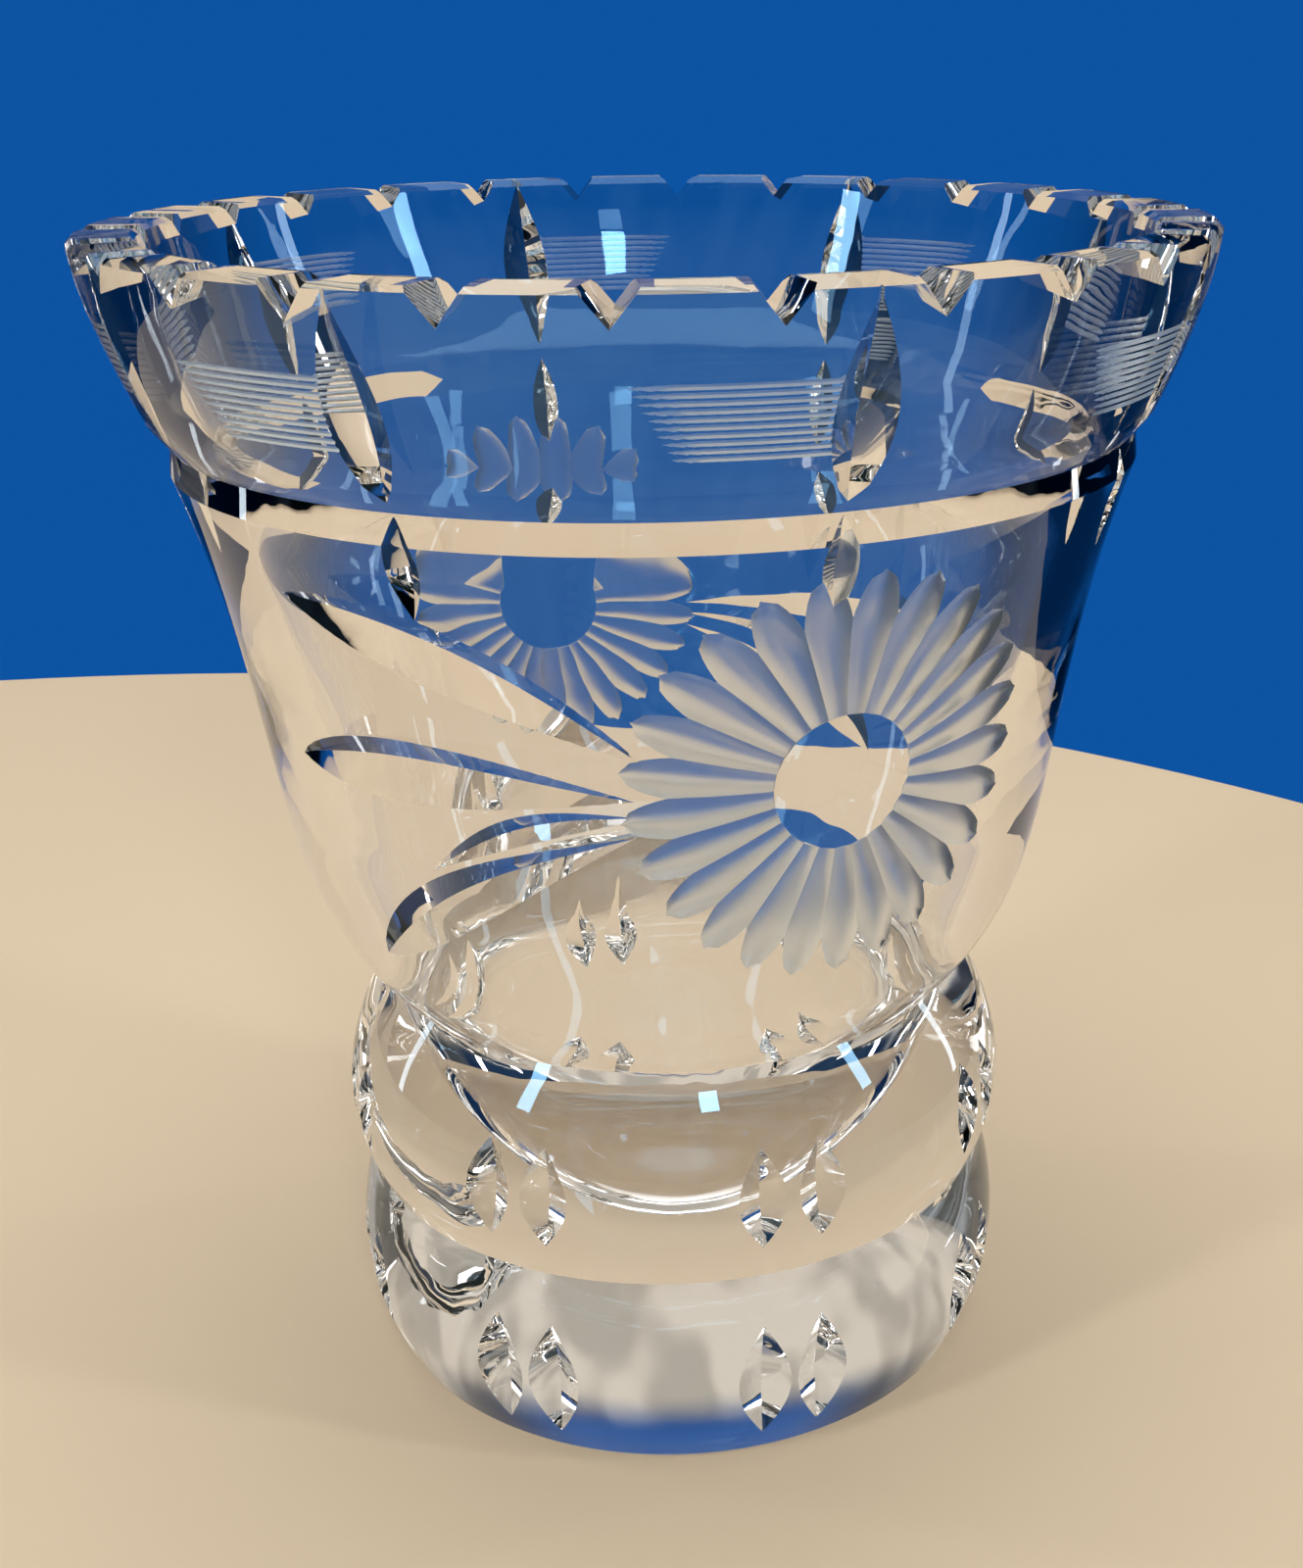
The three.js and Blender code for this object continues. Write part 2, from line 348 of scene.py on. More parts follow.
def wheel_cut(bm, start, end, cut, place):
    """A cutter bent along a line on the glass, with a V valley or a hollow on its inner side."""
    steps = cut.get("steps", 8)
    across = cut.get("across", 2)
    shape = cut["shape"]
    width_shape = cut.get("width_shape")
    ridge = cut.get("ridge", 0.0)
    bow = cut.get("bow", 0.0)
    depth = cut["depth"]
    half = cut["width"] / 2.0
    run = Vector(end) - Vector(start)
    side_way = Vector((-run.y, run.x)).normalized()
    grid = bmesh.ops.create_grid(bm, x_segments=steps, y_segments=across, size=0.5)["verts"]
    floor = list({face for vert in grid for face in vert.link_faces})
    lid = bmesh.ops.extrude_face_region(bm, geom=floor)["geom"]
    lid = {item for item in lid if isinstance(item, bmesh.types.BMVert)}
    for vert in [*grid, *lid]:
        outside = vert in lid
        s = vert.co.x + 0.5
        t = 2.0 * vert.co.y
        reach = depth * ((1.0 + TIP_LIFT) * shape(s) - TIP_LIFT)
        top = CUTTER_CLEAR - CUTTER_RIM
        if width_shape:
            sunk = max(reach, LEAST_HOLLOW * depth)
            spread = half * width_shape(s) * math.sqrt((sunk + top) / sunk)
            lift = (reach + top) * t * t - reach
            side = t * spread
        else:
            lift = (reach + top) * abs(t) - reach
            side = half / depth * (t * (reach + top) + ridge * (1.0 - abs(t)) * reach)
        if outside:
            lift = CUTTER_CLEAR
        drift = bow * math.sin(math.pi * s) + side
        point = Vector(start) + run * s + side_way * drift
        vert.co = place(point.x, point.y, lift)


def notch_prism(bm, body, rim, turn):
    """A square bar on its edge, tilted so that the notch runs down towards the outside."""
    reach = NOTCH_BAR_REACH * MM
    slope = math.atan2(rim.rise, body.rim_wall)
    made = bmesh.ops.create_cone(bm, cap_ends=True, segments=4, radius1=reach, radius2=reach,
                                 depth=NOTCH_BAR_LENGTH * body.rim_wall)["verts"]
    height = body.height - rim.depth + rim.rise / 2.0 + reach
    radius = body.rim_radius - body.rim_wall / 2.0
    stand = Matrix.Rotation(math.radians(90), 4, "X")
    narrow = Matrix.Diagonal((rim.flank, 1.0, 1.0, 1.0))
    place = (Matrix.Rotation(turn, 4, "Z") @ Matrix.Translation((0.0, -radius, height))
             @ Matrix.Rotation(slope, 4, "X") @ narrow @ stand)
    bmesh.ops.transform(bm, matrix=place, verts=made)


def cut_glass(vase, shapes, finish, rounds=1):
    """Takes the shapes out of the vase. Shapes that overlap are taken out in different rounds."""
    cutters = []
    for first in range(rounds):
        bm = bmesh.new()
        for shape in shapes[first::rounds]:
            shape(bm)
        bmesh.ops.recalc_face_normals(bm, faces=bm.faces)
        cutter = mesh_object(f"cutter_{first}", bm)
        cutter.data.materials.append(finish)
        cutters.append(cutter)
        step = vase.modifiers.new(cutter.name, "BOOLEAN")
        step.operation = "DIFFERENCE"
        step.solver = "MANIFOLD"
        step.material_mode = "TRANSFER"
        step.object = cutter
    before = len(vase.data.polygons)
    apply_modifiers(vase)
    for cutter in cutters:
        bpy.data.meshes.remove(cutter.data)
    if len(vase.data.polygons) == before:
        raise RuntimeError(f"the {finish.name} cuts left the glass as it was")


def mesh_object(name, bm):
    """A new object at the origin whose mesh is the bmesh."""
    mesh = bpy.data.meshes.new(name)
    bm.to_mesh(mesh)
    bm.free()
    made = bpy.data.objects.new(name, mesh)
    bpy.context.scene.collection.objects.link(made)
    return made


def apply_modifiers(piece):
    """Gives the piece the mesh that its modifiers make."""
    graph = bpy.context.evaluated_depsgraph_get()
    made = bpy.data.meshes.new_from_object(piece.evaluated_get(graph), depsgraph=graph)
    old = piece.data
    piece.modifiers.clear()
    piece.data = made
    made.name = piece.name
    bpy.data.meshes.remove(old)


def the_vase():
    """The vase as it is so far."""
    vase = bpy.data.objects.get(VASE_NAME)
    if vase is None:
        raise RuntimeError("turn the body first")
    return vase


# ---- Smooth walls ----------------------------------------------------------------------------


def profile_normals(path, inward):
    """Both ends of every segment of a profile, and the wall's normal at each end.

    Neighbours share a normal where the wall is round, and keep their own where it breaks.
    """
    points = np.array([(p.x, p.y) for p in path])
    along = np.diff(points, axis=0)
    along /= np.linalg.norm(along, axis=1)[:, None]
    normal = np.stack([along[:, 1], -along[:, 0]], axis=1) * (-1.0 if inward else 1.0)
    starts = normal.copy()
    ends = normal.copy()
    for i in range(len(normal) - 1):
        if math.acos(max(-1.0, min(1.0, float(normal[i] @ normal[i + 1])))) < ROUND_ANGLE:
            mean = normal[i] + normal[i + 1]
            mean /= np.linalg.norm(mean)
            ends[i] = mean
            starts[i + 1] = mean
    return points[:-1], points[1:], starts, ends


def smooth_turned_walls(vase, outer, inner):
    """Gives the uncut wall the normals of its true round shape, so that it refracts evenly."""
    mesh = vase.data
    parts = [profile_normals(outer, False), profile_normals(inner, True)]
    low, high, low_normal, high_normal = (np.concatenate(part) for part in zip(*parts))
    corners = np.array([vert.co for vert in mesh.vertices]) / MM
    reach = high - low
    span = (reach ** 2).sum(axis=1)
    normals = np.zeros((len(mesh.loops), 3))
    for face in mesh.polygons:
        if face.material_index:
            continue
        verts = list(face.vertices)
        spots = corners[verts]
        flat = np.stack([np.hypot(spots[:, 0], spots[:, 1]), spots[:, 2]], axis=1)
        middle = flat.mean(axis=0)
        share = np.clip(((middle - low) * reach).sum(axis=1) / span, 0.0, 1.0)
        gap = ((low + reach * share[:, None] - middle) ** 2).sum(axis=1)
        near = int(gap.argmin())
        at = np.clip(((flat - low[near]) @ reach[near]) / span[near], 0.0, 1.0)[:, None]
        tilt = low_normal[near] * (1.0 - at) + high_normal[near] * at
        tilt /= np.linalg.norm(tilt, axis=1)[:, None]
        around = flat[:, :1]
        around = np.where(around < ON_AXIS, 1.0, around)
        loops = list(face.loop_indices)
        normals[loops, 0] = tilt[:, 0] * spots[:, 0] / around[:, 0]
        normals[loops, 1] = tilt[:, 0] * spots[:, 1] / around[:, 0]
        normals[loops, 2] = tilt[:, 1]
    mesh.normals_split_custom_set(normals.tolist())


def sharpen(vase):
    """Cleans the cut mesh, and marks the edges of every cut and every corner as crisp."""
    bm = bmesh.new()
    bm.from_mesh(vase.data)
    bmesh.ops.dissolve_degenerate(bm, edges=bm.edges, dist=SLIVER)
    for face in bm.faces:
        face.smooth = True
    for edge in bm.edges:
        if len(edge.link_faces) != 2:
            continue
        one, two = edge.link_faces
        steep = edge.calc_face_angle(0.0) > CRISP_ANGLE
        edge.smooth = not (steep or (one.material_index == 0) != (two.material_index == 0))
    bm.to_mesh(vase.data)
    bm.free()


# ---- Finishes --------------------------------------------------------------------------------


def node_group(name, inputs, outputs):
    """An empty shader group with named sockets, and its input and output nodes."""
    group = bpy.data.node_groups.new(name, "ShaderNodeTree")
    for label, kind, value in inputs:
        socket = group.interface.new_socket(label, in_out="INPUT", socket_type=kind)
        if value is not None:
            socket.default_value = value
    for label, kind in outputs:
        group.interface.new_socket(label, in_out="OUTPUT", socket_type=kind)
    return group, group.nodes.new("NodeGroupInput"), group.nodes.new("NodeGroupOutput")


def add_node(tree, kind, place, values=(), **settings):
    """A node with its settings and its input values."""
    node = tree.nodes.new(kind)
    node.location = place
    for name, value in settings.items():
        setattr(node, name, value)
    for name, value in dict(values).items():
        node.inputs[name].default_value = value
    return node


def polish_group():
    """Hand polished glass: a faint waviness, with traces of the polishing felt in the gloss."""
    group, source, sink = node_group(
        "polished_glass",
        [("Tint", "NodeSocketColor", (1.0, 1.0, 1.0, 1.0)),
         ("Wave Size", "NodeSocketFloat", 60.0),
         ("Haze", "NodeSocketFloat", 0.02)],
        [("Color", "NodeSocketColor"), ("Roughness", "NodeSocketFloat"),
         ("Height", "NodeSocketFloat")],
    )
    join = group.links.new
    where = add_node(group, "ShaderNodeTexCoord", (-900, 0))
    waves = add_node(group, "ShaderNodeTexNoise", (-600, 200), {"Detail": 2.0, "Roughness": 0.4})
    felt = add_node(group, "ShaderNodeTexNoise", (-600, -100), {"Scale": 240.0, "Detail": 3.0})
    cloud = add_node(group, "ShaderNodeTexNoise", (-600, -400), {"Scale": 18.0, "Detail": 2.0})
    join(where.outputs["Object"], waves.inputs["Vector"])
    join(where.outputs["Object"], felt.inputs["Vector"])
    join(where.outputs["Object"], cloud.inputs["Vector"])
    join(source.outputs["Wave Size"], waves.inputs["Scale"])
    haze = add_node(group, "ShaderNodeMapRange", (-300, -100), {"From Min": 0.45, "From Max": 0.8})
    join(felt.outputs["Fac"], haze.inputs["Value"])
    join(source.outputs["Haze"], haze.inputs["To Max"])
    tint = add_node(group, "ShaderNodeMix", (-300, -400), data_type="RGBA")
    tint.inputs[6].default_value = (1.0, 1.0, 1.0, 1.0)
    join(cloud.outputs["Fac"], tint.inputs[0])
    join(source.outputs["Tint"], tint.inputs[7])
    join(tint.outputs[2], sink.inputs["Color"])
    join(haze.outputs["Result"], sink.inputs["Roughness"])
    join(waves.outputs["Fac"], sink.inputs["Height"])
    return group


def satin_group():
    """Stone ground glass: a fine even grain, and a whiter bloom where the stone bit deeper."""
    group, source, sink = node_group(
        "satin_glass",
        [("Tint", "NodeSocketColor", (1.0, 1.0, 1.0, 1.0)),
         ("Bloom", "NodeSocketColor", (1.0, 1.0, 1.0, 1.0)),
         ("Roughness", "NodeSocketFloat", 0.4),
         ("Grain Size", "NodeSocketFloat", 3000.0)],
        [("Color", "NodeSocketColor"), ("Roughness", "NodeSocketFloat"),
         ("Height", "NodeSocketFloat")],
    )
    join = group.links.new
    where = add_node(group, "ShaderNodeTexCoord", (-900, 0))
    grain = add_node(group, "ShaderNodeTexNoise", (-600, 200), {"Detail": 4.0, "Roughness": 0.7})
    bite = add_node(group, "ShaderNodeTexNoise", (-600, -200), {"Scale": 160.0, "Detail": 4.0})
    join(where.outputs["Object"], grain.inputs["Vector"])
    join(where.outputs["Object"], bite.inputs["Vector"])
    join(source.outputs["Grain Size"], grain.inputs["Scale"])
    spread = add_node(group, "ShaderNodeMapRange", (-300, 0),
                      {"From Min": 0.3, "From Max": 0.7, "To Min": 0.9, "To Max": 1.12})
    join(bite.outputs["Fac"], spread.inputs["Value"])
    rough = add_node(group, "ShaderNodeMath", (-100, 0), operation="MULTIPLY")
    join(spread.outputs["Result"], rough.inputs[0])
    join(source.outputs["Roughness"], rough.inputs[1])
    tint = add_node(group, "ShaderNodeMix", (-300, -300), data_type="RGBA")
    join(bite.outputs["Fac"], tint.inputs[0])
    join(source.outputs["Tint"], tint.inputs[6])
    join(source.outputs["Bloom"], tint.inputs[7])
    join(tint.outputs[2], sink.inputs["Color"])
    join(rough.outputs["Value"], sink.inputs["Roughness"])
    join(grain.outputs["Fac"], sink.inputs["Height"])
    return group


def glass_material(name, group, values, transmission, bump, bump_distance):
    """A glass whose colour, gloss and relief come from a shader group."""
    look = bpy.context.scene.vase.glass
    material = bpy.data.materials.new(name)
    material.use_nodes = True
    tree = material.node_tree
    shader = tree.nodes["Principled BSDF"]
    shader.inputs["Transmission Weight"].default_value = transmission
    shader.inputs["IOR"].default_value = look.refraction
    shader.inputs["Specular Tint"].default_value = look.gloss
    surface = add_node(tree, "ShaderNodeGroup", (-600, 200), node_tree=group)
    for label, value in values.items():
        surface.inputs[label].default_value = value
    relief = add_node(tree, "ShaderNodeBump", (-300, -200),
                      {"Strength": bump, "Distance": bump_distance})
    tree.links.new(surface.outputs["Color"], shader.inputs["Base Color"])
    tree.links.new(surface.outputs["Roughness"], shader.inputs["Roughness"])
    tree.links.new(surface.outputs["Height"], relief.inputs["Height"])
    tree.links.new(relief.outputs["Normal"], shader.inputs["Normal"])
    return material


def finish(name):
    """The named finish, which is made with the others when it is first asked for."""
    if name not in bpy.data.materials:
        look = bpy.context.scene.vase.glass
        polish = polish_group()
        satin = satin_group()
        glass_material("polished_wall", polish,
                       {"Tint": look.crystal, "Wave Size": 55.0, "Haze": 0.012},
                       transmission=1.0, bump=0.25, bump_distance=0.0004)
        glass_material("polished_cut", polish,
                       {"Tint": look.crystal, "Wave Size": 120.0, "Haze": 0.02},
                       transmission=1.0, bump=0.2, bump_distance=0.0002)
        glass_material("satin_petal", satin,
                       {"Tint": look.satin, "Bloom": (0.86, 0.93, 1.0, 1.0), "Roughness": 0.32,
                        "Grain Size": 2600.0},
                       transmission=0.92, bump=0.3, bump_distance=0.00004)
        glass_material("comb_line", satin,
                       {"Tint": look.comb, "Bloom": (0.70, 0.85, 1.0, 1.0), "Roughness": 0.34,
                        "Grain Size": 3400.0},
                       transmission=0.78, bump=0.4, bump_distance=0.00008)
    return bpy.data.materials[name]


# ---- Operators -------------------------------------------------------------------------------


class VASE_OT_turn_body(bpy.types.Operator):
    """Turn the round body of the vase from its profile"""

    bl_idname = "vase.turn_body"
    bl_label = "Turn the body"

    def execute(self, context):
        body = context.scene.vase.body
        bm = bmesh.new()
        profile = outer_profile(body) + inner_profile(body)[::-1]
        verts = [bm.verts.new((p.x * MM, 0.0, p.y * MM)) for p in profile]
        edges = [bm.edges.new(pair) for pair in zip(verts, verts[1:])]
        bmesh.ops.spin(bm, geom=verts + edges, cent=(0.0, 0.0, 0.0), axis=(0.0, 0.0, 1.0),
                       angle=math.tau, steps=body.segments, use_merge=True)
        bmesh.ops.remove_doubles(bm, verts=bm.verts, dist=WELD)
        bmesh.ops.recalc_face_normals(bm, faces=bm.faces)
        if any(not edge.is_manifold for edge in bm.edges):
            raise RuntimeError("the turned body is not closed")
        vase = mesh_object(VASE_NAME, bm)
        vase.data.materials.append(finish("polished_wall"))
        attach(vase, "root")
        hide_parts(NODE)
        return {"FINISHED"}


class VASE_OT_cut_rim(bpy.types.Operator):
    """Cut the notches through the rim"""

    bl_idname = "vase.cut_rim"
    bl_label = "Cut the rim"

    def execute(self, context):
        settings = context.scene.vase
        rim = settings.rim
        shapes = [partial(notch_prism, body=settings.body, rim=rim,
                          turn=rim.phase + math.tau * i / rim.count)
                  for i in range(rim.count)]
        cut_glass(the_vase(), shapes, finish("polished_cut"))
        return {"FINISHED"}


class VASE_OT_cut_combs(bpy.types.Operator):
    """Cut the combs of fine matt lines into the collar, one beside each spear"""

    bl_idname = "vase.cut_combs"
    bl_label = "Cut the combs"

    def execute(self, context):
        settings = context.scene.vase
        combs = settings.combs
        outer = outer_profile(settings.body)
        cut = {"width": combs.pitch / MM * COMB_OVERLAP, "depth": combs.depth / MM, "steps": 14,
               "across": 4, "shape": comb_shape, "width_shape": lambda s: 1.0}
        even = []
        odd = []
        for line in range(combs.lines):
            height = (combs.bottom + combs.pitch * line) / MM
            around = wall_radius(outer, height)
            lean = combs.slant * line / max(combs.lines - 1, 1)
            start = ((combs.start - lean + combs.slant / 2.0) * around, 0.0)
            end = (combs.end * around, 0.0)
            for i in range(settings.spears.count):
                azimuth = settings.spears.phase + math.tau * i / settings.spears.count
                shape = partial(wheel_cut, start=start, end=end, cut=cut,
                                place=wall_place(outer, azimuth, height))
                (odd if line % 2 else even).append(shape)
        for shapes in (even, odd):
            cut_glass(the_vase(), shapes, finish("comb_line"))
        return {"FINISHED"}


class VASE_OT_cut_spears(bpy.types.Operator):
    """Cut the upright spears of the collar and the bowl, and the pairs on the rings"""

    bl_idname = "vase.cut_spears"
    bl_label = "Cut the spears"

    def execute(self, context):
        settings = context.scene.vase
        spears = settings.spears
        outer = outer_profile(settings.body)
        shapes = []
        for i in range(spears.count):
            azimuth = spears.phase + math.tau * i / spears.count
            places = [(azimuth, COLLAR_SPEAR), (azimuth, LOWER_SPEAR)]
            for spear in RING_SPEARS:
                places.append((azimuth - spears.pair_spread / 2.0, spear))
                places.append((azimuth + spears.pair_spread / 2.0, spear))
            for turn, spear in places:
                half = (spear["high"] - spear["low"]) / 2.0
                place = wall_place(outer, turn, spear["low"] + half)
                cut = {**spear, "steps": 16, "shape": skewed(spear.get("skew", 1.0))}
                shapes.append(partial(wheel_cut, start=(0.0, -half), end=(0.0, half),
                                      cut=cut, place=place))
        cut_glass(the_vase(), shapes, finish("polished_cut"), rounds=2)
        return {"FINISHED"}


class VASE_OT_cut_daisies(bpy.types.Operator):
    """Cut the satin petals of each daisy and its polished leaves"""

    bl_idname = "vase.cut_daisies"
    bl_label = "Cut the daisies"

    def execute(self, context):
        settings = context.scene.vase
        daisy = settings.daisies
        outer = outer_profile(settings.body)
        height = daisy.height / MM
        petal = {"width": daisy.petal_width / MM, "depth": daisy.petal_depth / MM, "steps": 14,
                 "across": 8, "shape": petal_depth_shape, "width_shape": petal_width_shape}
        around = wall_radius(outer, height)
        places = [wall_place(outer, daisy.azimuth + math.tau * i / daisy.count, height)
                  for i in range(daisy.count)]
        leaves = []
        for place in places:
            for leaf in LEAVES:
                start = (math.radians(leaf["tip"][0]) * around, leaf["tip"][1] - height)
                end = (math.radians(leaf["root"][0]) * around, leaf["root"][1] - height)
                cut = {**leaf, "steps": 24, "shape": skewed(leaf["skew"])}
                leaves.append(partial(wheel_cut, start=start, end=end, cut=cut, place=place))
        petals = []
        for k in range(daisy.petals):
            angle = math.tau * k / daisy.petals
            way = Vector((math.cos(angle), math.sin(angle)))
            start = tuple(way * daisy.inner / MM)
            end = tuple(way * daisy.outer / MM)
            for place in places:
                petals.append(partial(wheel_cut, start=start, end=end, cut=petal, place=place))
        cut_glass(the_vase(), leaves, finish("polished_cut"), rounds=4)
        cut_glass(the_vase(), petals, finish("satin_petal"), rounds=10)
        return {"FINISHED"}


class VASE_OT_polish(bpy.types.Operator):
    """Smooth the round walls and leave every cut edge crisp"""

    bl_idname = "vase.polish"
    bl_label = "Polish the glass"

    def execute(self, context):
        body = context.scene.vase.body
        vase = the_vase()
        sharpen(vase)
        smooth_turned_walls(vase, outer_profile(body), inner_profile(body))
        return {"FINISHED"}


class VASE_OT_set_stage(bpy.types.Operator):
    """Set the floor, the soft light and the camera"""

    bl_idname = "vase.set_stage"
    bl_label = "Set the stage"

    def execute(self, context):
        look = context.scene.vase.stage
        make_floor(look)
        make_surroundings(context.scene, look)
        make_lamps(look)
        make_camera(context.scene)
        tune_light_paths(context.scene)
        return {"FINISHED"}


# ---- Stage -----------------------------------------------------------------------------------

# Round floor under the vase, in metres
FLOOR_CENTRE = (-0.195, -0.144)
FLOOR_DISC_RADIUS = 0.55
FLOOR_THICKNESS = 0.02
FLOOR_GAP = 0.0002
FLOOR_EDGE = 0.004
# Its darkest patches, as a share of its colour
FLOOR_SHADE = 0.94

# Where one colour of the surroundings gives way to the next, as parts of a unit direction
BEHIND_THE_VASE = (-0.05, 0.15)
BELOW_THE_CEILING = (0.46, 0.34)
ASIDE_OF_THE_VASE = (0.2, 0.46)
# How bright the surroundings are in the glass: the backdrop from its middle to its sides, the
# room from its dark to its bright folds, and the ceiling over a black and over a bright fold
BACKDROP_IN_GLASS = (0.86, 0.15)
ROOM_IN_GLASS = (0.3, 2.0)
CEILING_IN_GLASS = (0.76, 1.3)
# The folds: how directions are stretched, their scale, and the noise from dark to bright
FOLD_STRETCH = (5.0, 5.0, 0.5)
FOLD_SCALE = 1.6
FOLD_EDGES = (0.42, 0.62)

# Where the lamps point, halfway up the vase
LAMP_AIM = (0.0, 0.0, 0.1)
# Soft lamps: name, place, size across and up in metres, power in watts, colour
LAMPS = (
    ("window_left", (-1.05, -0.75, 0.75), (0.13, 0.5), 6.5, (0.93, 0.97, 1.0)),
    ("window_right", (1.15, -0.45, 0.65), (0.10, 0.5), 4.5, (0.93, 0.97, 1.0)),
    ("window_front", (0.3, -1.5, 1.0), (0.17, 0.24), 5.5, (0.90, 0.97, 1.0)),
    ("ceiling_light", (0.0, 0.1, 1.5), (1.1, 1.1), 15.0, (1.0, 0.98, 0.95)),
    ("strip_left", (-1.0, 0.25, 0.35), (0.05, 0.9), 1.6, (1.0, 0.99, 0.97)),
    ("strip_right", (1.0, 0.3, 0.35), (0.05, 0.9), 1.6, (1.0, 0.99, 0.97)),
)

# Camera: place in rim radii from the axis and above the floor, and its direction
CAMERA_DISTANCE = 3.7528
CAMERA_HEIGHT = 2.5628
CAMERA_DOWN = 0.36357
CAMERA_TURN = 0.05727
CAMERA_ROLL = -0.00834
FOCAL_LENGTH = 46.6
SENSOR = 36.0
FRAME_SHIFT = -0.0803


def make_floor(look):
    """A round board with one plain paint, a little darker in soft patches."""
    bm = bmesh.new()
    bmesh.ops.create_cone(bm, cap_ends=True, segments=192, radius1=FLOOR_DISC_RADIUS,
                          radius2=FLOOR_DISC_RADIUS, depth=FLOOR_THICKNESS)
    centre = (FLOOR_CENTRE[0], FLOOR_CENTRE[1], -FLOOR_THICKNESS / 2.0 - FLOOR_GAP)
    bmesh.ops.translate(bm, vec=centre, verts=bm.verts)
    rims = [edge for edge in bm.edges if abs(edge.verts[0].co.z - edge.verts[1].co.z) < 1e-6]
    bmesh.ops.bevel(bm, geom=rims, offset=FLOOR_EDGE, segments=3, profile=0.5, affect="EDGES",
                    material=-1)
    bmesh.ops.recalc_face_normals(bm, faces=bm.faces)
    floor = mesh_object("floor", bm)
    material = bpy.data.materials.new("floor_paint")
    material.use_nodes = True
    tree = material.node_tree
    shader = tree.nodes["Principled BSDF"]
    where = add_node(tree, "ShaderNodeTexCoord", (-900, 0))
    cloud = add_node(tree, "ShaderNodeTexNoise", (-700, 0), {"Scale": 4.0, "Detail": 3.0})
    blend = add_node(tree, "ShaderNodeMix", (-400, 0), data_type="RGBA")
    tree.links.new(where.outputs["Object"], cloud.inputs["Vector"])
    tree.links.new(cloud.outputs["Fac"], blend.inputs[0])
    blend.inputs[6].default_value = look.floor
    blend.inputs[7].default_value = [v * FLOOR_SHADE for v in look.floor[:3]] + [1.0]
    tree.links.new(blend.outputs[2], shader.inputs["Base Color"])
    shader.inputs["Roughness"].default_value = 0.6
    floor.data.materials.append(material)


def eased(tree, place, source, edges, values=(0.0, 1.0)):
    """Goes softly between two values while the source goes between two edges."""
    step = add_node(tree, "ShaderNodeMapRange", place,
                    {"From Min": edges[0], "From Max": edges[1],
                     "To Min": values[0], "To Max": values[1]},
                    interpolation_type="SMOOTHSTEP")
    tree.links.new(source, step.inputs["Value"])
    return step.outputs["Result"]


def only_in_glass(tree, place, rays, value):
    """The value for light that has met the glass, and 1 for the world seen directly."""
    node = add_node(tree, "ShaderNodeMix", place, data_type="FLOAT")
    tree.links.new(rays.outputs["Is Camera Ray"], node.inputs[0])
    tree.links.new(value, node.inputs[2])
    node.inputs[3].default_value = 1.0
    return node.outputs[0]


def scaled(tree, place, colour, strength):
    """A plain colour times a strength from another node."""
    node = add_node(tree, "ShaderNodeVectorMath", place, operation="SCALE")
    node.inputs[0].default_value = colour
    tree.links.new(strength, node.inputs["Scale"])
    return node.outputs["Vector"]


def blended(tree, place, share, one, two):
    """One colour where the share is 0, the other where it is 1."""
    node = add_node(tree, "ShaderNodeMix", place, data_type="RGBA")
    tree.links.new(share, node.inputs[0])
    tree.links.new(one, node.inputs[6])
    tree.links.new(two, node.inputs[7])
    return node.outputs[2]


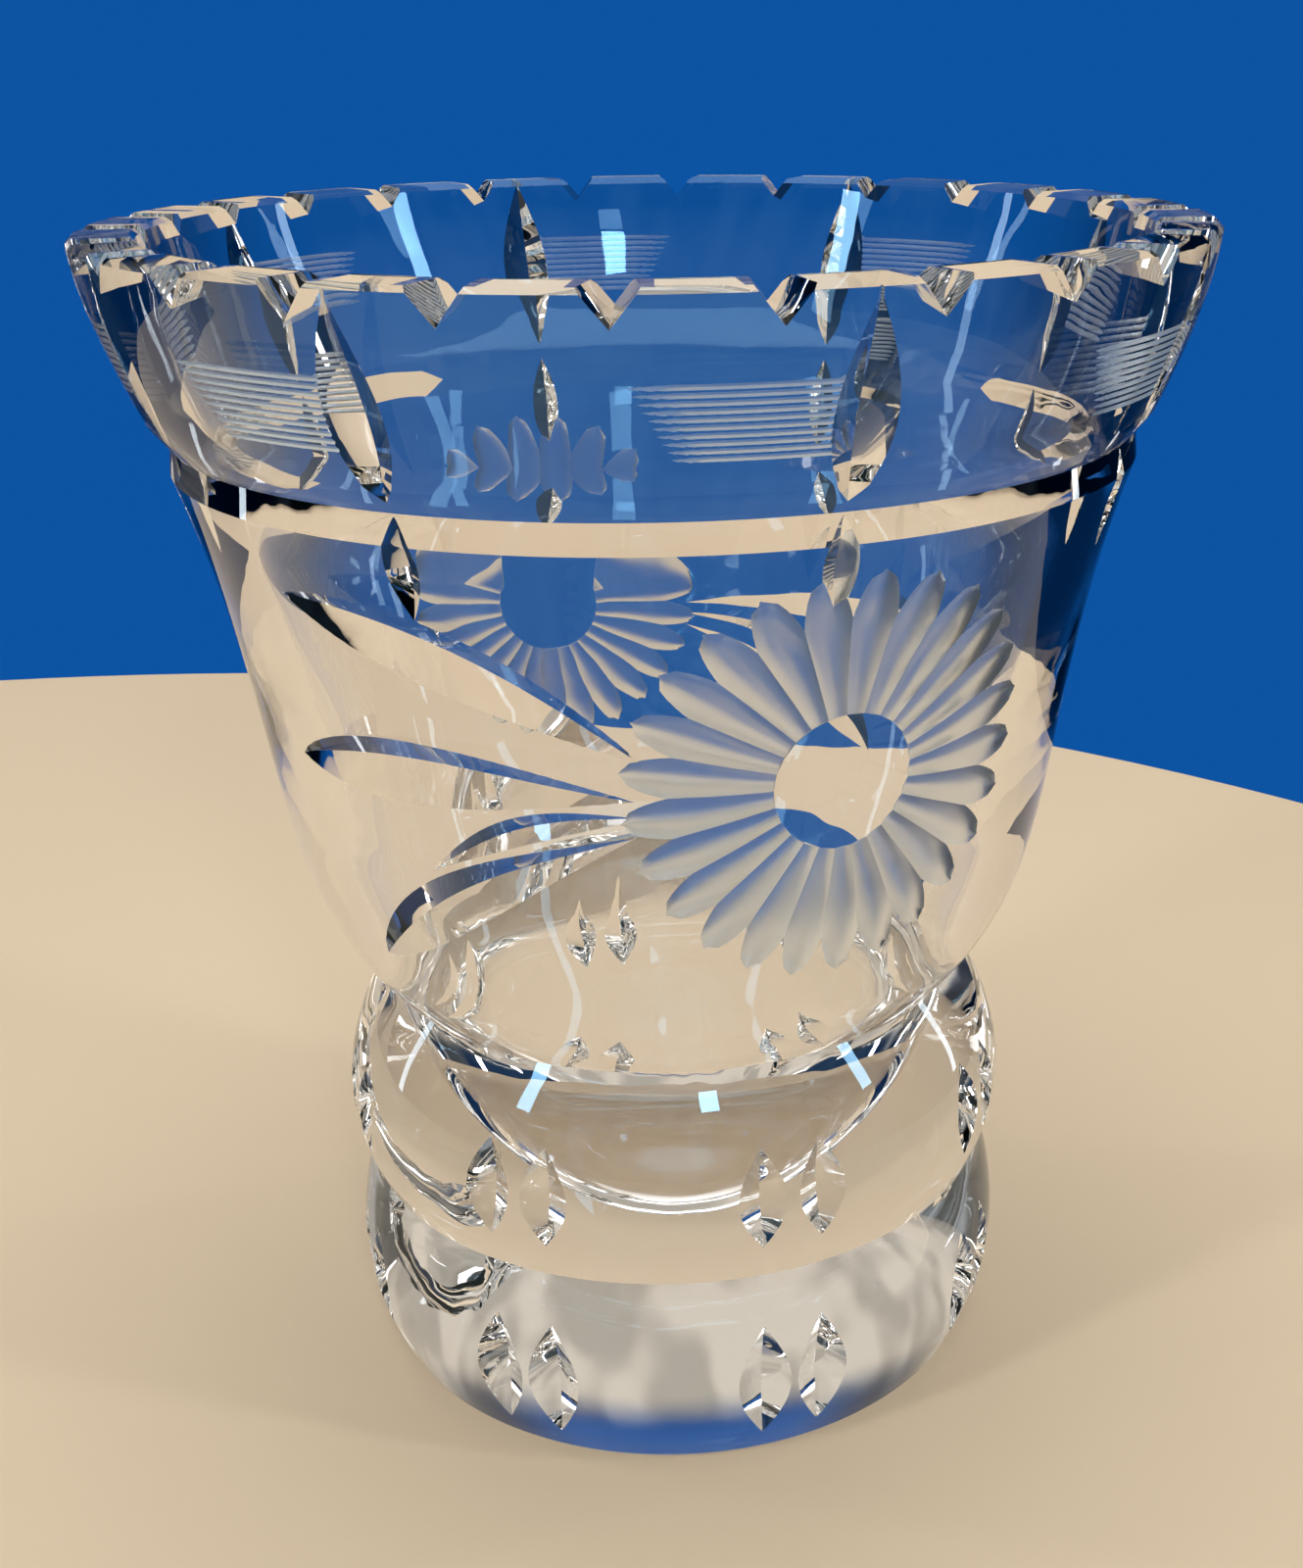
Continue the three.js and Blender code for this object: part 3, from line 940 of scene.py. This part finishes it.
def make_surroundings(scene, look):
    """A backdrop low behind the vase, a room everywhere else and a ceiling over both.

    Seen directly each is one plain colour. In the glass the backdrop darkens to its sides and
    the room has soft folds, so that the cuts have light and dark to bend.
    """
    world = bpy.data.worlds.new("studio")
    scene.world = world
    world.use_nodes = True
    tree = world.node_tree
    tree.nodes.clear()
    join = tree.links.new
    where = add_node(tree, "ShaderNodeTexCoord", (-1400, 0))
    rays = add_node(tree, "ShaderNodeLightPath", (-1000, 500))
    split = add_node(tree, "ShaderNodeSeparateXYZ", (-1200, 0))
    join(where.outputs["Generated"], split.inputs["Vector"])

    stretch = add_node(tree, "ShaderNodeMapping", (-1200, 300), {"Scale": FOLD_STRETCH})
    join(where.outputs["Generated"], stretch.inputs["Vector"])
    drapes = add_node(tree, "ShaderNodeTexNoise", (-1000, 300),
                      {"Scale": FOLD_SCALE, "Detail": 1.0})
    join(stretch.outputs["Vector"], drapes.inputs["Vector"])
    folds = eased(tree, (-800, 300), drapes.outputs["Fac"], FOLD_EDGES, ROOM_IN_GLASS)
    folds = only_in_glass(tree, (-600, 400), rays, folds)
    room_colour = [v * look.room_strength for v in look.room[:3]]
    room = scaled(tree, (-400, 300), room_colour, folds)

    soft = add_node(tree, "ShaderNodeMapRange", (-600, 600),
                    {"From Max": ROOM_IN_GLASS[1], "To Min": CEILING_IN_GLASS[0],
                     "To Max": CEILING_IN_GLASS[1]})
    join(folds, soft.inputs["Value"])
    ceiling = scaled(tree, (-400, 500), look.ceiling[:3], soft.outputs["Result"])

    aside = add_node(tree, "ShaderNodeMath", (-1000, -400), operation="ABSOLUTE")
    join(split.outputs["X"], aside.inputs["Value"])
    shade = eased(tree, (-800, -400), aside.outputs["Value"], ASIDE_OF_THE_VASE,
                  BACKDROP_IN_GLASS)
    shade = only_in_glass(tree, (-600, -400), rays, shade)
    backdrop = scaled(tree, (-400, -300), look.backdrop[:3], shade)

    behind = eased(tree, (-1000, 100), split.outputs["Y"], BEHIND_THE_VASE)
    below = eased(tree, (-1000, -150), split.outputs["Z"], BELOW_THE_CEILING)
    both = add_node(tree, "ShaderNodeMath", (-800, 0), operation="MULTIPLY")
    join(behind, both.inputs[0])
    join(below, both.inputs[1])
    upper = blended(tree, (-300, 100), below, ceiling, room)
    colour = blended(tree, (-200, 0), both.outputs["Value"], upper, backdrop)

    seen = add_node(tree, "ShaderNodeBackground", (-200, 100))
    join(colour, seen.inputs["Color"])
    fill = add_node(tree, "ShaderNodeBackground", (-200, -100),
                    {"Color": look.fill, "Strength": look.fill_strength})
    mix = add_node(tree, "ShaderNodeMixShader", (0, 0))
    join(rays.outputs["Is Diffuse Ray"], mix.inputs[0])
    join(seen.outputs["Background"], mix.inputs[1])
    join(fill.outputs["Background"], mix.inputs[2])
    out = add_node(tree, "ShaderNodeOutputWorld", (200, 0))
    join(mix.outputs["Shader"], out.inputs["Surface"])


def make_lamps(look):
    """Soft lamps that the glass mirrors and the camera does not see directly."""
    aim = Vector(LAMP_AIM)
    for name, place, size, power, colour in LAMPS:
        lamp = bpy.data.lights.new(name, "AREA")
        lamp.shape = "RECTANGLE"
        lamp.size = size[0]
        lamp.size_y = size[1]
        lamp.energy = power * look.lamp_strength
        lamp.color = colour
        stand = bpy.data.objects.new(name, lamp)
        stand.location = place
        stand.rotation_euler = (aim - Vector(place)).to_track_quat("-Z", "Y").to_euler()
        stand.visible_camera = False
        bpy.context.scene.collection.objects.link(stand)


def make_camera(scene):
    """The camera, a little above the rim and looking down at the vase."""
    radius = scene.vase.body.rim_radius
    forward = Vector((math.sin(CAMERA_TURN) * math.cos(CAMERA_DOWN),
                      math.cos(CAMERA_TURN) * math.cos(CAMERA_DOWN), -math.sin(CAMERA_DOWN)))
    right = Vector((math.cos(CAMERA_TURN), -math.sin(CAMERA_TURN), 0.0))
    up = right.cross(forward)
    rolled_right = math.cos(CAMERA_ROLL) * right + math.sin(CAMERA_ROLL) * up
    rolled_up = rolled_right.cross(forward)
    place = Vector((0.0, -CAMERA_DISTANCE * radius, CAMERA_HEIGHT * radius))
    data = bpy.data.cameras.new("camera")
    data.lens = FOCAL_LENGTH
    data.sensor_width = SENSOR
    data.sensor_height = SENSOR
    data.shift_x = FRAME_SHIFT
    data.clip_start = 0.01
    camera = bpy.data.objects.new("camera", data)
    turn = Matrix((rolled_right, rolled_up, -forward)).transposed().to_4x4()
    camera.matrix_world = Matrix.Translation(place) @ turn
    scene.collection.objects.link(camera)
    scene.camera = camera


def tune_light_paths(scene):
    """Enough bounces for light to cross every wall of the glass."""
    cycles = scene.cycles
    cycles.max_bounces = 28
    cycles.transmission_bounces = 26
    cycles.glossy_bounces = 10
    cycles.transparent_max_bounces = 12
    cycles.sample_clamp_indirect = 6.0
    cycles.use_denoising = True
    scene.view_settings.view_transform = "Standard"


# ---- Panel and registration ------------------------------------------------------------------

STEPS = (
    VASE_OT_turn_body,
    VASE_OT_cut_rim,
    VASE_OT_cut_combs,
    VASE_OT_cut_spears,
    VASE_OT_cut_daisies,
    VASE_OT_polish,
    VASE_OT_set_stage,
)


class VASE_PT_panel(bpy.types.Panel):
    """Sizes, colours and making steps of the vase"""

    bl_idname = "VASE_PT_panel"
    bl_label = "Cut Crystal Vase"
    bl_space_type = "VIEW_3D"
    bl_region_type = "UI"
    bl_category = "Vase"

    def draw(self, context):
        settings = context.scene.vase
        for part in ("body", "rim", "spears", "combs", "daisies", "glass", "stage"):
            box = self.layout.box()
            box.label(text=part.capitalize())
            group = getattr(settings, part)
            for name in group.__annotations__:
                box.prop(group, name)
        for step in STEPS:
            self.layout.operator(step.bl_idname)


CLASSES = (
    BodySizes,
    RimSizes,
    SpearSizes,
    CombSizes,
    DaisySizes,
    GlassLook,
    StageLook,
    VaseSettings,
    *STEPS,
    VASE_PT_panel,
)


def register():
    for cls in CLASSES:
        bpy.utils.register_class(cls)
    bpy.types.Scene.vase = PointerProperty(type=VaseSettings)


def unregister():
    del bpy.types.Scene.vase
    for cls in reversed(CLASSES):
        bpy.utils.unregister_class(cls)


def main():
    register()
    for step in STEPS:
        group, name = step.bl_idname.split(".")
        getattr(getattr(bpy.ops, group), name)()


if __name__ == "__main__":
    main()
